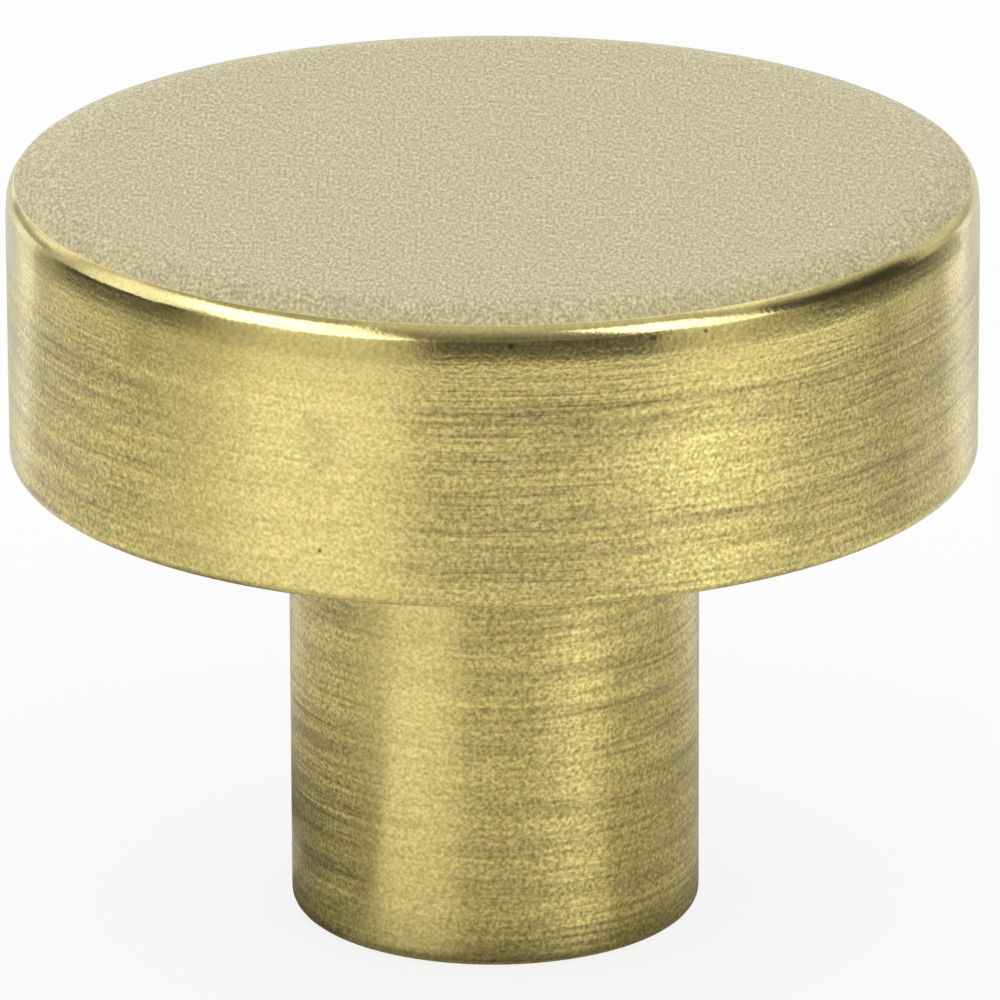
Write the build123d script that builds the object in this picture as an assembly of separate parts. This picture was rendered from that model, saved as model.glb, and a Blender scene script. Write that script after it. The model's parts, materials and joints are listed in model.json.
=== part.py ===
"""Turned cabinet knob: a flat disc head on a straight round stem, tapped in its foot for a screw.

Millimetres, +Z up. The origin is the centre of the foot face, where the knob meets a door or drawer front,
and the knob's axis runs along +Z to the centre of the head's flat top.
"""

import os
from math import radians, tan

from build123d import *

# Head and stem
HEAD_DIAMETER = 31.75
HEAD_THICKNESS = 9.7
STEM_DIAMETER = 13.5
PROJECTION = 25.4  # foot face to flat top

# Edges, as they are broken and rounded on the lathe
TOP_EDGE_ROUND = 1.0
HEAD_LOWER_EDGE_ROUND = 0.4
STEM_ROOT_FILLET = 0.4
FOOT_EDGE_ROUND = 0.5

# Tapped hole in the foot, for a number 8 machine screw
THREAD_MAJOR_DIAMETER = 4.166
THREAD_HEIGHT = 0.356  # from the drilled wall out to the thread's root
HOLE_DEPTH = 12.7  # foot face to the end of the full diameter
DRILL_POINT_ANGLE = 118.0
MOUTH_ANGLE = 90.0
MOUTH_OVERSIZE = 0.2  # from the thread's root out to the rim of the countersunk mouth


def turned_blank():
    """The outside of the knob: half of its section, rounded at the corners and turned about the axis."""
    head_radius = HEAD_DIAMETER / 2
    stem_radius = STEM_DIAMETER / 2
    underside = PROJECTION - HEAD_THICKNESS

    foot_corner = (stem_radius, 0)
    root_corner = (stem_radius, underside)
    lower_corner = (head_radius, underside)
    top_corner = (head_radius, PROJECTION)
    rounds = {
        foot_corner: FOOT_EDGE_ROUND,
        root_corner: STEM_ROOT_FILLET,
        lower_corner: HEAD_LOWER_EDGE_ROUND,
        top_corner: TOP_EDGE_ROUND,
    }

    with BuildPart() as blank:
        with BuildSketch(Plane.XZ) as half_section:
            with BuildLine():
                Polyline((0, 0), *rounds, (0, PROJECTION), close=True)
            make_face()
            for corner, radius in rounds.items():
                fillet(half_section.vertices().sort_by_distance(corner)[0], radius)
        revolve(axis=Axis.Z)
    return blank.part


def tapped_hole():
    """The metal drilled out of the foot: countersunk mouth, tap-drill wall and the drill's pointed end."""
    wall_radius = THREAD_MAJOR_DIAMETER / 2 - THREAD_HEIGHT
    mouth_radius = THREAD_MAJOR_DIAMETER / 2 + MOUTH_OVERSIZE
    mouth_depth = (mouth_radius - wall_radius) / tan(radians(MOUTH_ANGLE / 2))
    point_depth = wall_radius / tan(radians(DRILL_POINT_ANGLE / 2))

    with BuildPart() as hole:
        with BuildSketch(Plane.XZ):
            with BuildLine():
                Polyline(
                    (0, 0),
                    (mouth_radius, 0),
                    (wall_radius, mouth_depth),
                    (wall_radius, HOLE_DEPTH),
                    (0, HOLE_DEPTH + point_depth),
                    close=True,
                )
            make_face()
        revolve(axis=Axis.Z)
    return hole.part


knob = turned_blank() - tapped_hole()
knob.label = "knob"

os.makedirs("parts", exist_ok=True)
export_step(knob, "parts/knob.step")
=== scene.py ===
"""Looks of a turned cabinet knob: a finished mesh in lacquered brushed brass, in a pale studio."""

import json
import math

import bpy
import numpy as np
from mathutils import Matrix, Vector


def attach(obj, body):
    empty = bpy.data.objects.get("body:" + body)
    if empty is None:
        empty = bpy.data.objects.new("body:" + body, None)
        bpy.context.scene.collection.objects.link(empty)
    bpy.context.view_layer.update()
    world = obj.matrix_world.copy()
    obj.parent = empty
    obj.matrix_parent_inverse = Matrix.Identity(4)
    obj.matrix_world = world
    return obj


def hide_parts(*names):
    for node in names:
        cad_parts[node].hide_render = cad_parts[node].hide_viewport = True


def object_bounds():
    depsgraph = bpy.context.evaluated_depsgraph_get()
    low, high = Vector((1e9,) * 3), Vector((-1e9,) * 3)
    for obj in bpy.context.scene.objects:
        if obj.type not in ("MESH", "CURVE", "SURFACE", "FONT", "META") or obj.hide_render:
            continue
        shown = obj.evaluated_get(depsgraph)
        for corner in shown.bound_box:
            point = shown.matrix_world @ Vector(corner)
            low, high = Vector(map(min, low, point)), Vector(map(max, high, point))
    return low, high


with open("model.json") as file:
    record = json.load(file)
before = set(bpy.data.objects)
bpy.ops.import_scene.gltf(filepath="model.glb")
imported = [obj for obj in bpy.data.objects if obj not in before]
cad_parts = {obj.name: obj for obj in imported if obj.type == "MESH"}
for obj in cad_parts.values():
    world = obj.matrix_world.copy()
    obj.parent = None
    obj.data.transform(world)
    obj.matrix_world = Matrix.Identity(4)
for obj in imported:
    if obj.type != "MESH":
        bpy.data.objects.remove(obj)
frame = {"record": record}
cad_low, cad_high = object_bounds()

MM = 0.001

# Sizes in millimetres. The overall ones come from the frame, the rest repeat the solid's own.
HEAD_RADIUS = (cad_high.x - cad_low.x) / 2 / MM
PROJECTION = (cad_high.z - cad_low.z) / MM
HEAD_THICKNESS = 9.7
STEM_RADIUS = 6.75
HEAD_LOWER_EDGE_ROUND = 0.4
STEM_ROOT_FILLET = 0.4
FOOT_EDGE_ROUND = 0.5
THREAD_MAJOR_RADIUS = 2.083
MOUTH_OVERSIZE = 0.2
HOLE_DEPTH = 12.7
DRILL_POINT_ANGLE = 118.0
HOLE_RADIUS = next(m["dims"]["r_mm"] for m in frame["record"]["mounts"] if m["name"] == "screw_hole")
UNDERSIDE = PROJECTION - HEAD_THICKNESS
MOUTH_RADIUS = THREAD_MAJOR_RADIUS + MOUTH_OVERSIZE

# Polishing has drawn the top edge's round out into four curves: a slow shoulder on the head's side, a narrow
# bright band, a fine arris and a slow crown on the flat top. Each ends at an angle in degrees.
SHOULDER_RADIUS = 9.5
SHOULDER_END = 5.3
BAND_RADIUS = 0.86
BAND_END = 43.0
ARRIS_RADIUS = 0.06
ARRIS_END = 72.0
CROWN_RADIUS = 6.0
CROWN_END = 90.0

# The cut thread: 32 turns to the inch, fading out above its full depth
THREAD_PITCH = 25.4 / 32
THREAD_FULL_DEPTH = 10.2
THREAD_RUN_OUT = 1.0
THREAD_SHARPNESS = 0.8

# Mesh density: steps round the axis, over the rounds, along a turn of thread and along the straight stretches
SEGMENTS = 192
ROUND_STEPS = 10
SMALL_ROUND_STEPS = 6
ROWS_PER_PITCH = 12
FOOT_STEPS = 3
STEM_STEPS = 8
UNDERSIDE_STEPS = 5
SIDE_STEPS = 6
TOP_STEPS = 8
ON_AXIS = 1e-9  # a smaller radius than this is on the axis

# Finish regions of the mesh, which are also its material slots
TOP, EDGE, BRUSHED, TURNED, THREAD = range(5)

# Texture sheet, in sheet millimetres: a strip is its left and low edge and its scales along and up, and
# a disc is its centre along and up and its one scale
SHEET = 102.0
HEAD_STRIP = (1.0, 1.0, 1.0, 2.5)
STEM_STRIP = (1.0, 29.5, 1.0, 4.3)
HOLE_STRIP = (86.0, 48.0, 1.2, 1.5)
TOP_DISC = (64.5, 48.5, 1.22)
UNDERSIDE_DISC = (64.5, 84.5, 1.05)
FOOT_DISC = (92.0, 38.0, 1.1)
POINT_DISC = (92.0, 74.0, 1.5)

# Camera, from the photograph's outline: angles in degrees, lens and sensor in mm, and the rest in metres
CAMERA_ELEVATION = 19.12
CAMERA_DISTANCE = 0.3969
CAMERA_LENS = 434.8
CAMERA_ROLL = -0.223
SENSOR_WIDTH = 36.0
CLIP_START = 0.01
AIM = Vector((0.0002, 0.0, 0.01391))

# Colours of the metal where its grain is dark and where it is light, and the lacquer over it
# The top's tones are paler and greyer than the walls': that paleness is painted sheen, standing in for the
# lacquer's gloss on a face seen at a low angle; the grain between the two tones is the metal's own.
TOP_TONES = (0.38, 0.342, 0.153), (0.865, 0.777, 0.474)
SIDE_TONES = (0.36, 0.30, 0.09), (0.95, 0.80, 0.28)
# The edge band's tones are brighter and paler than the walls': a painted highlight, so that the band's
# highlights render whiter.
EDGE_TONES = (0.76, 0.65, 0.25), (0.94, 0.81, 0.36)
LACQUER = 0.5
LACQUER_ROUGHNESS = 0.3

# Noise textures: their detail where it is plain and where it is rich, their middle value, and the range about
# it that is spread out
PLAIN = 1.0
RICH = 2.0
MIDDLE = 0.5
MIDDLE_RANGE = 0.25, 0.75

# Brushed and turned metal spreads its gloss across the lines, a quarter turn from their own direction
BRUSHED_ANISOTROPY = 0.9
TURNED_ANISOTROPY = 0.85
ACROSS_LINES = 0.25

# Turned lines wander up and down a little, in mm
WANDER = 0.1
WANDER_LENGTH = 5.0

# Grain of the walls in mm, turned out of line with the axes by angles in radians
GRAIN = (0.13, 0.13, 0.13)
GRAIN_TURN = (0.6, 0.9, 0.4)

# Brushed walls: length and width of three kinds of line in mm, the shares of the last two, how far the lines
# darken and lighten the metal, its roughness, and the height of its relief in mm with the grain's share in it
SHORT_LINES = 2.0, 0.14
LONG_LINES = 6.0, 0.18
BROAD_LINES = 12.0, 0.55
LONG_SHARE = 0.65
BROAD_SHARE = 0.3
LINE_LEVELS = 0.45, 1.55
WALL_ROUGHNESS = 0.26, 0.36
WALL_RELIEF = 0.05
WALL_GRAIN_SHARE = 0.15

# The lines and grain are painted fainter where the left softbox's highlight falls, a painted washed-out
# highlight: its azimuth from the camera in degrees, the cosines of the angle from there where they begin to
# fade and are faintest, and how much of the lines and the grain is left
HIGHLIGHT_AZIMUTH = -26.0
FAINT_EDGE = 0.92
FAINT_CORE = 0.995
FAINT_LINES = 0.3
FAINT_GRAIN = 0.6

# The wall is polished towards the top edge: where that begins and is complete in mm below the top, how much
# of the lines and the grain is left, and the fall in roughness
POLISH_START = 3.6
POLISH_FULL = 1.3
POLISHED_LINES = 0.2
POLISHED_GRAIN = 0.6
POLISH_SMOOTHING = 0.17

# A dull thumb mark on the head's side: its azimuth from the camera, its height, half sizes and smear in mm,
# where it fades in terms of its half sizes, and what it does to colour and roughness
MARK_AZIMUTH = -20.4
MARK_HEIGHT = 21.1
MARK_SIZE = (0.7, 0.7, 1.1)
MARK_SMEAR = (0.7, 0.7, 0.7)
MARK_FADE = 1.0, 1.8
MARK_LEVEL = 0.9
MARK_ROUGHNESS = 0.08

# Tiny pits in the head's side, without relief and darkened in the colour as painted shade: azimuth from the
# camera, height and half width in mm, where they fade in terms of their half width, and how dark the painted
# shade is
PITS = (2.0, 24.5, 0.14), (18.5, 24.5, 0.16), (25.0, 24.5, 0.12), (-20.3, 17.4, 0.11)
PIT_FADE = 0.4, 1.0
PIT_SHADE = 0.35

# Flat top: its grain and faint strokes in mm, and the strokes' angle in degrees, clockwise from the X axis
TOP_GRAIN = (0.1, 0.28, 0.1)
STROKES = (1.8, 0.2, 0.2)
STROKE_ANGLE = 40.0
STROKE_LEVELS = 0.92, 1.08
TOP_ROUGHNESS = 0.5, 0.58
TOP_RELIEF = 0.004
STROKE_SHARE = 0.3

# Burnished edge, in the same terms as the walls
EDGE_LINES = 1.5, 0.12
EDGE_LINE_LEVELS = 0.9, 1.1
EDGE_ROUGHNESS = 0.10, 0.18
EDGE_RELIEF = 0.008
EDGE_GRAIN_SHARE = 0.5

# Turned faces, in the same terms
FINE_CIRCLES = 9.0, 0.09
BROAD_CIRCLES = 20.0, 0.3
BROAD_CIRCLES_SHARE = 0.4
TURNED_ROUGHNESS = 0.26, 0.38
TURNED_RELIEF = 0.01

# Thread, in the same terms
SCRATCHES = 3.0, 0.05
THREAD_ROUGHNESS = 0.22, 0.4
THREAD_RELIEF = 0.004

# Floor, its reach in metres
FLOOR_REACH = 2.0
FLOOR_COLOUR = (0.98, 0.98, 0.98)
FLOOR_GLOW = 0.84

# Cards of the studio: they stand on a dome, its radius in metres, or lie just over the floor in rings, in mm
# from the axis. The dim ones glow warm and the bright ones cool.
DOME_RADIUS = 0.6
CARD_STEPS = 24
CARD_LIFT = 0.05
# The lying cards are painted light and shadow of the floor, seen in reflections alone: dark and lit floor, a
# bright ring, and painted shadow by the foot.
FOOT_RING = 6.3, 11
SHADE_RING = 11, 40
NEAR_RING = 40, 85
FAR_RING = 85, 700
BACK_RING = NEAR_RING[0], FAR_RING[1]
DIM_LEVEL = 0.3
DIM_GLOW = (1.0, 0.97, 0.85)
BRIGHT_LEVEL = 2.3
BRIGHT_GLOW = (0.98, 1.0, 1.2)


def line(start, end, region, island, steps=1):
    """A straight stretch of the half section: its finish, its place on the sheet, and points with normals."""
    start, end = Vector(start), Vector(end)
    along = (end - start).normalized()
    points = [(*start.lerp(end, i / steps), along.y, -along.x) for i in range(steps + 1)]
    return region, island, points


def arc(centre, radius, first, last, region, island, steps):
    """A round of the half section about its centre, between two angles in degrees: convex where they rise."""
    side = 1 if last > first else -1
    points = []
    for angle in np.radians(np.linspace(first, last, steps + 1)):
        out, up = math.cos(angle), math.sin(angle)
        points.append((centre[0] + radius * out, centre[1] + radius * up, side * out, side * up))
    return region, island, points


def top_edge():
    """Stretches of the head's top edge, from the side to the flat top: tangent arcs, one after another."""
    curves = (
        (SHOULDER_RADIUS, SHOULDER_END, BRUSHED, HEAD_STRIP, SMALL_ROUND_STEPS),
        (BAND_RADIUS, BAND_END, EDGE, HEAD_STRIP, ROUND_STEPS),
        (ARRIS_RADIUS, ARRIS_END, EDGE, HEAD_STRIP, SMALL_ROUND_STEPS),
        (CROWN_RADIUS, CROWN_END, TOP, TOP_DISC, ROUND_STEPS),
    )
    ends = [0.0] + [math.radians(end) for _, end, *_ in curves]
    rise = sum(curve[0] * (math.sin(b) - math.sin(a)) for curve, a, b in zip(curves, ends, ends[1:]))
    place = Vector((HEAD_RADIUS, PROJECTION - rise))
    stretches = []
    for (radius, _, region, island, steps), first, last in zip(curves, ends, ends[1:]):
        centre = place - radius * Vector((math.cos(first), math.sin(first)))
        stretches.append(arc(centre, radius, math.degrees(first), math.degrees(last), region, island, steps))
        place = centre + radius * Vector((math.cos(last), math.sin(last)))
    return stretches


def half_section():
    """Stretches of the half section (radius, height), from the hole's pointed end to the top's centre."""
    point_height = HOLE_DEPTH + HOLE_RADIUS / math.tan(math.radians(DRILL_POINT_ANGLE / 2))
    thread_rows = round(HOLE_DEPTH / THREAD_PITCH * ROWS_PER_PITCH)
    foot, root, low = FOOT_EDGE_ROUND, STEM_ROOT_FILLET, HEAD_LOWER_EDGE_ROUND
    edge = top_edge()
    (_, _, shoulder), (_, _, crown) = edge[0], edge[-1]
    return [
        line((0, point_height), (HOLE_RADIUS, HOLE_DEPTH), TURNED, POINT_DISC),
        line((HOLE_RADIUS, HOLE_DEPTH), (HOLE_RADIUS, 0), THREAD, HOLE_STRIP, thread_rows),
        line((MOUTH_RADIUS, 0), (STEM_RADIUS - foot, 0), TURNED, FOOT_DISC, FOOT_STEPS),
        arc((STEM_RADIUS - foot, foot), foot, -90, 0, BRUSHED, STEM_STRIP, SMALL_ROUND_STEPS),
        line((STEM_RADIUS, foot), (STEM_RADIUS, UNDERSIDE - root), BRUSHED, STEM_STRIP, STEM_STEPS),
        arc((STEM_RADIUS + root, UNDERSIDE - root), root, 180, 90, BRUSHED, STEM_STRIP, SMALL_ROUND_STEPS),
        line(
            (STEM_RADIUS + root, UNDERSIDE),
            (HEAD_RADIUS - low, UNDERSIDE),
            TURNED,
            UNDERSIDE_DISC,
            UNDERSIDE_STEPS,
        ),
        arc((HEAD_RADIUS - low, UNDERSIDE + low), low, -90, 0, BRUSHED, HEAD_STRIP, SMALL_ROUND_STEPS),
        line((HEAD_RADIUS, UNDERSIDE + low), shoulder[0][:2], BRUSHED, HEAD_STRIP, SIDE_STEPS),
        *edge,
        line(crown[-1][:2], (0, PROJECTION), TOP, TOP_DISC, TOP_STEPS),
    ]


def threaded_radius(turn, height):
    """Radius of the hole's wall: a right-handed thread, cut back at the mouth by the countersink."""
    wave = 0.5 + THREAD_SHARPNESS * math.cos(2 * math.pi * height / THREAD_PITCH - turn)
    left = (THREAD_FULL_DEPTH + THREAD_RUN_OUT - height) / THREAD_RUN_OUT
    depth = (THREAD_MAJOR_RADIUS - HOLE_RADIUS) * min(max(left, 0), 1)
    return max(MOUTH_RADIUS - height, HOLE_RADIUS + depth * min(max(wave, 0), 1))


def sheet_place(island, turn, radius, travelled, facing):
    """Place on the texture sheet: strips unroll the turn, discs are seen along the axis."""
    if len(island) == 4:
        left, low, along, up = island
        width = {HEAD_STRIP: HEAD_RADIUS, STEM_STRIP: STEM_RADIUS, HOLE_STRIP: HOLE_RADIUS}[island]
        return (left + turn * width * along) / SHEET, (low + travelled * up) / SHEET
    along, up, scale = island
    reach = radius * scale
    return (along + reach * math.cos(turn)) / SHEET, (up + facing * reach * math.sin(turn)) / SHEET


def make_knob():
    """The knob's mesh: the half section turned about the axis into one closed skin."""
    verts, faces, regions, normals, places = [], [], [], [], []
    turns = np.linspace(0, 2 * math.pi, SEGMENTS + 1)

    def ring(radius, height, region):
        """Vertex numbers round one turn; a point on the axis is a single vertex."""
        start = len(verts)
        if radius < ON_AXIS:
            verts.append((0, 0, height * MM))
            return [start] * (SEGMENTS + 1)
        for turn in turns[:-1]:
            reach = threaded_radius(turn, height) if region == THREAD else radius
            verts.append((reach * math.cos(turn) * MM, reach * math.sin(turn) * MM, height * MM))
        return [start + k % SEGMENTS for k in range(SEGMENTS + 1)]

    def corner(vertex, turn, point, travelled, region, island):
        """Normal and sheet place of one face's corner; the thread takes the mesh's own normals."""
        radius, _, out, up = point
        cut = region == THREAD
        normals.append((0, 0, 0) if cut else (out * math.cos(turn), out * math.sin(turn), up))
        places.append(sheet_place(island, turn, radius, travelled, 1 if up > 0 else -1))
        return vertex

    previous = None
    travelled = {}
    for region, island, points in half_section():
        previous = previous or ring(*points[0][:2], region)
        for before, point in zip(points, points[1:]):
            current = ring(*point[:2], region)
            near = travelled.get(island, 0)
            far = near + math.dist(before[:2], point[:2])
            travelled[island] = far
            for k in range(SEGMENTS):
                a, b = turns[k], turns[k + 1]
                square = [
                    (previous[k], a, before, near),
                    (previous[k + 1], b, before, near),
                    (current[k + 1], b, point, far),
                    (current[k], a, point, far),
                ]
                if previous[k] == previous[k + 1]:
                    del square[1]
                if current[k] == current[k + 1]:
                    del square[-1]
                faces.append([corner(*place, region, island) for place in square])
                regions.append(region)
            previous = current

    mesh = bpy.data.meshes.new("knob_finish")
    mesh.from_pydata(verts, [], faces)
    mesh.polygons.foreach_set("material_index", regions)
    mesh.polygons.foreach_set("use_smooth", [True] * len(faces))
    sheet = mesh.uv_layers.new(name="OFBake")
    sheet.data.foreach_set("uv", np.array(places).ravel())
    mesh.normals_split_custom_set(normals)
    mesh.update()
    knob = bpy.data.objects.new("knob_finish", mesh)
    bpy.context.scene.collection.objects.link(knob)
    return knob


def around(azimuth, radius=1.0, height=0.0):
    """Point at an azimuth in degrees to the camera's right, a radius and a height."""
    turn = math.radians(azimuth)
    return Vector((math.sin(turn) * radius, -math.cos(turn) * radius, height))


def add(tree, kind, inputs=None, **settings):
    """A shader node with its settings; each input is a value or another node's output."""
    made = tree.nodes.new("ShaderNode" + kind)
    for key, value in settings.items():
        setattr(made, key, value)
    for socket, value in (inputs or {}).items():
        if isinstance(value, bpy.types.NodeSocket):
            tree.links.new(value, made.inputs[socket])
        else:
            made.inputs[socket].default_value = value
    return made


def maths(tree, operation, first, second=0.0):
    """Output of a Math node."""
    return add(tree, "Math", {0: first, 1: second}, operation=operation).outputs[0]


def vector_maths(tree, operation, *inputs):
    """Output of a Vector Math node: a number for a length or a dot product, and otherwise a vector."""
    outputs = add(tree, "VectorMath", dict(enumerate(inputs)), operation=operation).outputs
    return outputs["Value" if operation in ("LENGTH", "DOT_PRODUCT") else "Vector"]


def spread(tree, value, low, high):
    """A texture's middle range brought to the range from low to high."""
    start, end = MIDDLE_RANGE
    limits = {"Value": value, "From Min": start, "From Max": end, "To Min": low, "To Max": high}
    return add(tree, "MapRange", limits).outputs[0]


def ramp(tree, value, start, end, first=0.0, last=1.0):
    """A value's smooth rise or fall from first to last, between its start and end."""
    limits = {"Value": value, "From Min": start, "From Max": end, "To Min": first, "To Max": last}
    return add(tree, "MapRange", limits, interpolation_type="SMOOTHSTEP").outputs[0]


def mixed(tree, first, second, share):
    """Two textures laid together, with the second's share."""
    return add(tree, "Mix", {0: share, 2: first, 3: second}).outputs[0]


def blended(tree, first, second, share):
    """Two colours laid together, with the second's share."""
    return add(tree, "Mix", {0: share, 6: (*first, 1), 7: (*second, 1)}, data_type="RGBA").outputs[2]


def noise(tree, place, detail=PLAIN):
    """Output of a noise texture, in a place already scaled to its grain."""
    return add(tree, "TexNoise", {"Vector": place, "Scale": 1.0, "Detail": detail}).outputs[0]


def object_place(tree):
    """Place on the knob itself."""
    return add(tree, "TexCoord").outputs["Object"]


def scaled(tree, place, grain):
    """Place divided by a grain in mm along each axis."""
    return vector_maths(tree, "MULTIPLY", place, tuple(1 / (g * MM) for g in grain))


def askew(tree, place):
    """Place turned out of line with the axes."""
    turn = {"Vector": place, "Rotation": GRAIN_TURN}
    return add(tree, "VectorRotate", turn, rotation_type="EULER_XYZ").outputs[0]


def turned_place(tree, length, width):
    """Place that stretches a texture into lines round the axis, of a length and width in mm.

    Height and distance from the axis are added together, so the lines lie level on upright walls,
    run in circles on flat faces, and carry on round the edges between them.
    """
    place = object_place(tree)
    x, y, z = add(tree, "SeparateXYZ", {0: place}).outputs
    flat = add(tree, "CombineXYZ", {0: x, 1: y}).outputs[0]
    radius = vector_maths(tree, "LENGTH", flat)
    wander = noise(tree, scaled(tree, place, (WANDER_LENGTH,) * 3), RICH)
    drift = maths(tree, "MULTIPLY", maths(tree, "SUBTRACT", wander, MIDDLE), WANDER * MM)
    travel = maths(tree, "ADD", maths(tree, "ADD", z, radius), drift)
    joined = add(tree, "CombineXYZ", {0: x, 1: y, 2: travel}).outputs[0]
    return scaled(tree, joined, (length, length, width))


def tint(tree, shader, tones, grain, *levels):
    """Base colour: a grain between two tones, that other textures' levels darken and lighten."""
    shade = blended(tree, *tones, spread(tree, grain, 0.0, 1.0))
    for level in levels:
        shade = add(tree, "VectorMath", {0: shade, "Scale": level}, operation="SCALE").outputs[0]
    tree.links.new(shade, shader.inputs["Base Color"])


def relief(tree, shader, texture, height):
    """Bump of a texture, its full height in mm."""
    bump = add(tree, "Bump", {"Height": texture, "Distance": height * MM, "Strength": 1.0}).outputs[0]
    tree.links.new(bump, shader.inputs["Normal"])


def brass(name, anisotropic=0.0):
    """Lacquered brass: a material with its node tree and its metal shader, still to be dressed."""
    material = bpy.data.materials.new(name)
    material.use_nodes = True
    tree = material.node_tree
    shader = tree.nodes["Principled BSDF"]
    shader.inputs["Metallic"].default_value = 1.0
    shader.inputs["Coat Weight"].default_value = LACQUER
    shader.inputs["Coat Roughness"].default_value = LACQUER_ROUGHNESS
    if anisotropic:
        shader.inputs["Anisotropic"].default_value = anisotropic
        shader.inputs["Anisotropic Rotation"].default_value = ACROSS_LINES
        tangent = add(tree, "Tangent", direction_type="RADIAL", axis="Z").outputs[0]
        tree.links.new(tangent, shader.inputs["Tangent"])
    return material, tree, shader


def highlight_facing(tree, place):
    """How squarely the wall faces the side where the left softbox's highlight falls and the texture is
    painted fainter, as a cosine.
    """
    outward = vector_maths(tree, "NORMALIZE", vector_maths(tree, "MULTIPLY", place, (1, 1, 0)))
    return vector_maths(tree, "DOT_PRODUCT", outward, around(HIGHLIGHT_AZIMUTH))


def polished_share(tree, place):
    """How far the wall is polished, from 0 to 1 just under the top edge."""
    height = add(tree, "SeparateXYZ", {0: place}).outputs[2]
    return ramp(tree, height, (PROJECTION - POLISH_START) * MM, (PROJECTION - POLISH_FULL) * MM)


def weakened(tree, texture, facing, polish, faint, polished):
    """A texture with less contrast where the highlight falls, as a painted washing out, and where the wall is
    polished.
    """
    on_side = ramp(tree, facing, FAINT_EDGE, FAINT_CORE, 1.0, faint)
    on_polish = ramp(tree, polish, 0, 1, 1.0, polished)
    return mixed(tree, MIDDLE, texture, maths(tree, "MULTIPLY", on_side, on_polish))


def spot_distance(tree, place, azimuth, height, size):
    """Distance from a spot on the head's side, in terms of the spot's half sizes in mm."""
    offset = vector_maths(tree, "SUBTRACT", place, around(azimuth, HEAD_RADIUS, height) * MM)
    return vector_maths(tree, "LENGTH", scaled(tree, offset, size))


def thumb_mark(tree, place):
    """How strong the thumb mark is, from 0 to 1 at its middle, with a smeared outline."""
    smear = noise(tree, scaled(tree, place, MARK_SMEAR), RICH)
    distance = spot_distance(tree, place, MARK_AZIMUTH, MARK_HEIGHT, MARK_SIZE)
    return ramp(tree, maths(tree, "ADD", distance, smear), *MARK_FADE, 1.0, 0.0)


def pit_shade(tree, place, azimuth, height, half_width):
    """Level of the metal at a pit: dark with painted shade in it and full away from it."""
    distance = spot_distance(tree, place, azimuth, height, (half_width,) * 3)
    return ramp(tree, distance, *PIT_FADE, PIT_SHADE, 1.0)


def brushed_brass():
    """Upright walls: short and long lines round the knob, over broader and fainter ones, with a grain.

    The lines are painted fainter where the left softbox's highlight falls, the metal is smoother just under
    the top edge, a thumb mark dulls it and a few pits show in it as dark spots of painted shade.
    """
    material, tree, shader = brass("brass_brushed", BRUSHED_ANISOTROPY)
    place = object_place(tree)
    facing = highlight_facing(tree, place)
    polish = polished_share(tree, place)
    mark = thumb_mark(tree, place)
    pits = [pit_shade(tree, place, *pit) for pit in PITS]

    kinds = SHORT_LINES, LONG_LINES, BROAD_LINES
    short, long, broad = [noise(tree, turned_place(tree, *kind)) for kind in kinds]
    lines = mixed(tree, mixed(tree, short, long, LONG_SHARE), broad, BROAD_SHARE)
    lines = weakened(tree, lines, facing, polish, FAINT_LINES, POLISHED_LINES)
    grain = noise(tree, scaled(tree, askew(tree, place), GRAIN))
    grain = weakened(tree, grain, facing, polish, FAINT_GRAIN, POLISHED_GRAIN)

    dulled = ramp(tree, mark, 0, 1, 1.0, MARK_LEVEL)
    tint(tree, shader, SIDE_TONES, grain, spread(tree, lines, *LINE_LEVELS), dulled, *pits)
    smoothing = maths(tree, "MULTIPLY", polish, POLISH_SMOOTHING)
    rough = maths(tree, "SUBTRACT", spread(tree, lines, *WALL_ROUGHNESS), smoothing)
    rough = maths(tree, "ADD", rough, maths(tree, "MULTIPLY", mark, MARK_ROUGHNESS))
    tree.links.new(rough, shader.inputs["Roughness"])
    relief(tree, shader, mixed(tree, lines, grain, WALL_GRAIN_SHARE), WALL_RELIEF)
    return material


def grained_brass():
    """Flat top: an even fine grain, brushed faintly one way, in paler tones that carry a painted sheen."""
    material, tree, shader = brass("brass_top")
    place = object_place(tree)
    turn = {"Vector": place, "Angle": math.radians(STROKE_ANGLE)}
    turned = add(tree, "VectorRotate", turn, rotation_type="Z_AXIS").outputs[0]
    strokes = noise(tree, scaled(tree, turned, STROKES))
    grain = noise(tree, scaled(tree, place, TOP_GRAIN))
    tint(tree, shader, TOP_TONES, grain, spread(tree, strokes, *STROKE_LEVELS))
    tree.links.new(spread(tree, grain, *TOP_ROUGHNESS), shader.inputs["Roughness"])
    relief(tree, shader, mixed(tree, grain, strokes, STROKE_SHARE), TOP_RELIEF)
    return material


def burnished_brass():
    """Band round the top edge, rubbed smoother than the faces beside it, in tones painted brighter and paler
    as a painted highlight.
    """
    material, tree, shader = brass("brass_edge")
    grain = noise(tree, scaled(tree, askew(tree, object_place(tree)), GRAIN))
    lines = noise(tree, turned_place(tree, *EDGE_LINES))
    tint(tree, shader, EDGE_TONES, grain, spread(tree, lines, *EDGE_LINE_LEVELS))
    tree.links.new(spread(tree, lines, *EDGE_ROUGHNESS), shader.inputs["Roughness"])
    relief(tree, shader, mixed(tree, lines, grain, EDGE_GRAIN_SHARE), EDGE_RELIEF)
    return material


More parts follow.
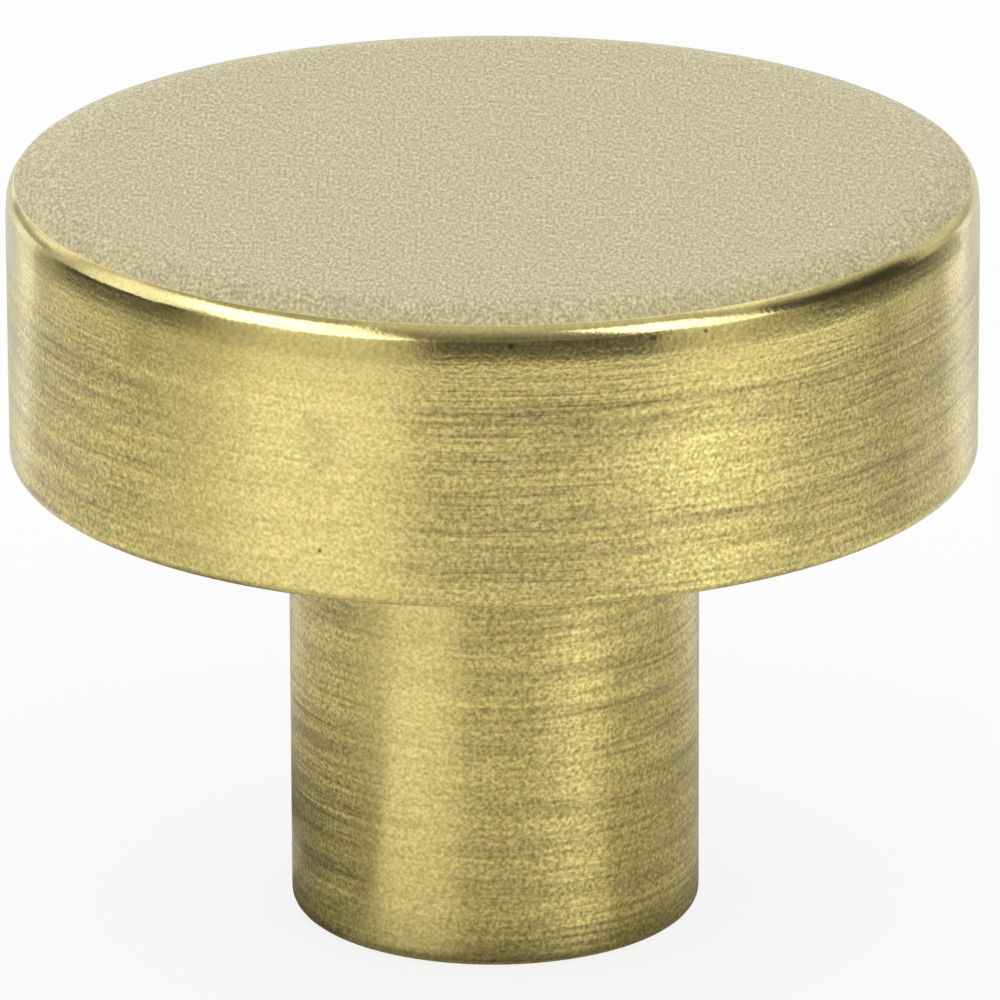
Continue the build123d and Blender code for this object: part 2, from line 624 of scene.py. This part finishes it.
def turned_brass():
    """Underside, foot and drill point: the fine circles that a lathe tool leaves."""
    material, tree, shader = brass("brass_turned", TURNED_ANISOTROPY)
    fine = noise(tree, turned_place(tree, *FINE_CIRCLES))
    broad = noise(tree, turned_place(tree, *BROAD_CIRCLES), RICH)
    lines = mixed(tree, fine, broad, BROAD_CIRCLES_SHARE)
    tint(tree, shader, SIDE_TONES, lines)
    tree.links.new(spread(tree, lines, *TURNED_ROUGHNESS), shader.inputs["Roughness"])
    relief(tree, shader, lines, TURNED_RELIEF)
    return material


def cut_brass():
    """Thread: bright flanks with the tap's fine scratches along them."""
    material, tree, shader = brass("brass_thread")
    scratches = noise(tree, turned_place(tree, *SCRATCHES), RICH)
    tint(tree, shader, SIDE_TONES, scratches)
    tree.links.new(spread(tree, scratches, *THREAD_ROUGHNESS), shader.inputs["Roughness"])
    relief(tree, shader, scratches, THREAD_RELIEF)
    return material


def make_camera():
    """A long lens at the photograph's viewing angle."""
    data = bpy.data.cameras.new("camera")
    data.lens = CAMERA_LENS
    data.sensor_width = SENSOR_WIDTH
    data.clip_start = CLIP_START
    camera = bpy.data.objects.new("camera", data)
    elevation = math.radians(CAMERA_ELEVATION)
    back = Vector((0, -math.cos(elevation), math.sin(elevation)))
    facing = (-back).to_track_quat("-Z", "Y").to_matrix().to_4x4()
    roll = Matrix.Rotation(math.radians(CAMERA_ROLL), 4, "Z")
    camera.matrix_world = Matrix.Translation(AIM + back * CAMERA_DISTANCE) @ facing @ roll
    bpy.context.scene.collection.objects.link(camera)
    bpy.context.scene.camera = camera


def make_floor():
    """A white floor under the knob, lit from within like a light table, so that its shadow is pale."""
    mesh = bpy.data.meshes.new("floor")
    corners = [(x * FLOOR_REACH, y * FLOOR_REACH, 0) for x, y in ((-1, -1), (1, -1), (1, 1), (-1, 1))]
    mesh.from_pydata(corners, [], [(0, 1, 2, 3)])
    floor = bpy.data.objects.new("floor", mesh)
    bpy.context.scene.collection.objects.link(floor)
    material = bpy.data.materials.new("floor")
    material.use_nodes = True
    tree = material.node_tree
    tree.nodes.clear()
    paper = add(tree, "BsdfDiffuse", {"Color": (*FLOOR_COLOUR, 1)}).outputs[0]
    glow = add(tree, "Emission", {"Color": (*FLOOR_COLOUR, 1), "Strength": 1.0}).outputs[0]
    path = add(tree, "LightPath").outputs
    seen = maths(tree, "MAXIMUM", path["Is Camera Ray"], path["Is Glossy Ray"])
    seen = maths(tree, "MAXIMUM", seen, path["Is Transmission Ray"])
    share = maths(tree, "MULTIPLY", seen, FLOOR_GLOW)
    add(tree, "OutputMaterial", {0: add(tree, "MixShader", {0: share, 1: paper, 2: glow}).outputs[0]})
    mesh.materials.append(material)


def make_world():
    """Even white light from all round."""
    world = bpy.data.worlds.new("studio")
    world.use_nodes = True
    world.cycles.sampling_method = "NONE"
    background = world.node_tree.nodes["Background"]
    background.inputs["Color"].default_value = (1, 1, 1, 1)
    background.inputs["Strength"].default_value = 1.0
    bpy.context.scene.world = world


def upright(azimuth, elevation):
    """Point of the dome, in degrees to the camera's right and up from the floor."""
    rise = math.radians(elevation)
    return around(azimuth, DOME_RADIUS * math.cos(rise), DOME_RADIUS * math.sin(rise))


def lying(azimuth, reach):
    """Point just over the floor, in degrees to the camera's right and in mm from the axis."""
    return around(azimuth, reach, CARD_LIFT) * MM


def card_glow():
    """The cards' common material: each glows at the level that its mesh carries."""
    material = bpy.data.materials.get("card")
    if material is None:
        material = bpy.data.materials.new("card")
        material.use_nodes = True
        material.cycles.emission_sampling = "NONE"
        tree = material.node_tree
        tree.nodes.clear()
        level = add(tree, "Attribute", attribute_name="glow").outputs["Fac"]
        limits = {"Value": level, "From Min": DIM_LEVEL, "From Max": BRIGHT_LEVEL}
        share = add(tree, "MapRange", limits).outputs[0]
        colour = blended(tree, DIM_GLOW, BRIGHT_GLOW, share)
        shine = add(tree, "Emission", {"Color": colour, "Strength": level}).outputs[0]
        add(tree, "OutputMaterial", {0: shine})
    return material


def make_card(name, place, across, up, level, rim, soft, lean=0.0, distance=1.0):
    """A card of the studio that shows in reflections alone: a bright softbox, a dark flag, a lit patch of
    floor painted in, or a painted shadow.

    Across and up are the card's limits in the terms of its place. Lean slides it across for each step up, and
    distance sets it before or behind other cards. Its glow goes from the rim's level to its own over the soft
    stretches in from its ends, low edge and high edge, and a soft stretch of 0 leaves that edge hard.
    """
    steps = np.linspace(0, 1, CARD_STEPS + 1)
    points, glow = [], []
    for rise in up[0] + steps * (up[1] - up[0]):
        for turn in across[0] + steps * (across[1] - across[0]):
            points.append(place(turn + lean * (rise - up[0]), rise) * distance)
            inside = min(turn - across[0], across[1] - turn), rise - up[0], up[1] - rise
            shares = np.array([min(gap / fade, 1) if fade else 1 for gap, fade in zip(inside, soft)])
            glow.append(rim + (level - rim) * math.prod(shares ** 2 * (3 - 2 * shares)))
    row = CARD_STEPS + 1
    faces = [(i, i + 1, i + row + 1, i + row) for i in range(row * CARD_STEPS) if i % row < CARD_STEPS]
    mesh = bpy.data.meshes.new(name)
    mesh.from_pydata(points, [], faces)
    mesh.attributes.new("glow", "FLOAT", "POINT").data.foreach_set("value", glow)
    mesh.materials.append(card_glow())
    card = bpy.data.objects.new(name, mesh)
    bpy.context.scene.collection.objects.link(card)
    card.visible_camera = False
    card.visible_diffuse = False
    card.visible_transmission = False
    card.visible_shadow = False


def make_dome_cards():
    """Standing cards: dark curtains in front, a pale backdrop with flags, and softboxes with lamps."""
    make_card("curtain_left", upright, (-122, -25), (-3, 80), 0.4, 0.7, (12, 0, 25))
    make_card("curtain_front", upright, (-38, 66), (-3, 60), 0.16, 0.6, (10, 0, 50), distance=0.98)
    make_card("curtain_right", upright, (58, 121), (-3, 44), 0.05, 0.6, (12, 0, 26), distance=0.99)
    make_card("ceiling_front", upright, (-60, 75), (58, 84), 0.6, 0.8, (10, 0, 10), distance=0.97)
    make_card("backdrop", upright, (156, 226), (-3, 66), 1.03, 0.7, (14, 0, 25), distance=1.04)
    make_card("backdrop_left", upright, (-150, -112), (-3, 60), 1.0, 0.7, (10, 0, 25), distance=1.06)
    make_card("backdrop_right", upright, (118, 162), (-3, 60), 0.62, 0.7, (10, 0, 25), distance=1.06)
    make_card("flag_left", upright, (-152, -117), (-1, 12), 0.4, 0.6, (5, 0, 6), distance=0.86)
    make_card("flag_right", upright, (122, 152), (-1, 12), 0.5, 0.6, (5, 0, 6), distance=0.86)
    make_card("softbox_left", upright, (-66, -15), (-1, 42), 2.3, 0.5, (6, 0, 10), lean=-0.4, distance=0.9)
    make_card("lamp_left", upright, (-76, -22), (8, 40), 2.4, 1.4, (18, 6, 8), lean=-0.4, distance=0.88)
    make_card("softbox_side", upright, (-116, -66), (-1, 42), 1.15, 0.5, (18, 3, 10), distance=0.95)
    make_card("softbox_right", upright, (41, 72), (-1, 44), 1.6, 0.3, (6, 0, 12), lean=-0.5, distance=0.9)
    make_card("lamp_right", upright, (31, 62), (8, 40), 2.4, 1.3, (9, 6, 8), lean=-0.45, distance=0.88)


def make_floor_cards():
    """Lying cards, side by side, seen in reflections alone: painted dark and lit floor far out, a painted
    bright ring nearer, and painted shadow by the foot.
    """
    make_card("floor_far_left", lying, (-128, -58), FAR_RING, 0.05, 0.5, (20, 10, 0))
    make_card("spill_left", lying, (-58, -19), FAR_RING, 0.8, 0.5, (10, 40, 0))
    make_card("floor_far_front", lying, (-19, 40), FAR_RING, 0.06, 0.5, (8, 8, 0))
    make_card("spill_right", lying, (40, 62), FAR_RING, 0.75, 0.5, (8, 40, 0))
    make_card("floor_far_right", lying, (62, 134), FAR_RING, 0.08, 0.5, (22, 10, 0))
    make_card("floor_front", lying, (-62, 94), NEAR_RING, 1.64, 0.92, (12, 42, 5))
    make_card("floor_left", lying, (-124, -80), NEAR_RING, 1.08, 0.72, (12, 34, 4))
    make_card("floor_rim_left", lying, (-142, -124), NEAR_RING, 1.3, 0.7, (7, 34, 4))
    make_card("floor_right", lying, (94, 121), NEAR_RING, 1.02, 0.72, (10, 34, 4))
    make_card("floor_rim_right", lying, (121, 142), NEAR_RING, 1.45, 0.75, (7, 34, 4))
    make_card("floor_behind", lying, (142, 218), BACK_RING, 0.7, 0.75, (20, 0, 0))
    # Painted shadow of the knob on the floor round its foot, seen in reflections alone
    make_card("shade_foot", lying, (-50, 255), FOOT_RING, 0.2, 0.55, (0, 0, 4))
    make_card("shade_foot_left", lying, (-105, -50), FOOT_RING, 0.1, 0.36, (0, 0, 4))
    make_card("shade_front", lying, (-54, 50), SHADE_RING, 0.72, 0.88, (0, 0, 28))
    make_card("shade_left", lying, (-145, -54), SHADE_RING, 0.08, 1.0, (0, 0, 29))
    make_card("shade_right", lying, (50, 94), SHADE_RING, 0.42, 1.0, (0, 0, 26))
    make_card("shade_side", lying, (94, 145), SHADE_RING, 0.38, 0.9, (0, 0, 26))
    make_card("shade_back", lying, (145, 215), SHADE_RING, 0.5, 0.65, (0, 0, 10))


knob = make_knob()
for make_finish in (grained_brass, burnished_brass, brushed_brass, turned_brass, cut_brass):
    knob.data.materials.append(make_finish())
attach(knob, "root")
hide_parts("knob")

make_camera()
make_floor()
make_world()
make_dome_cards()
make_floor_cards()
bpy.context.scene.view_settings.view_transform = "Standard"
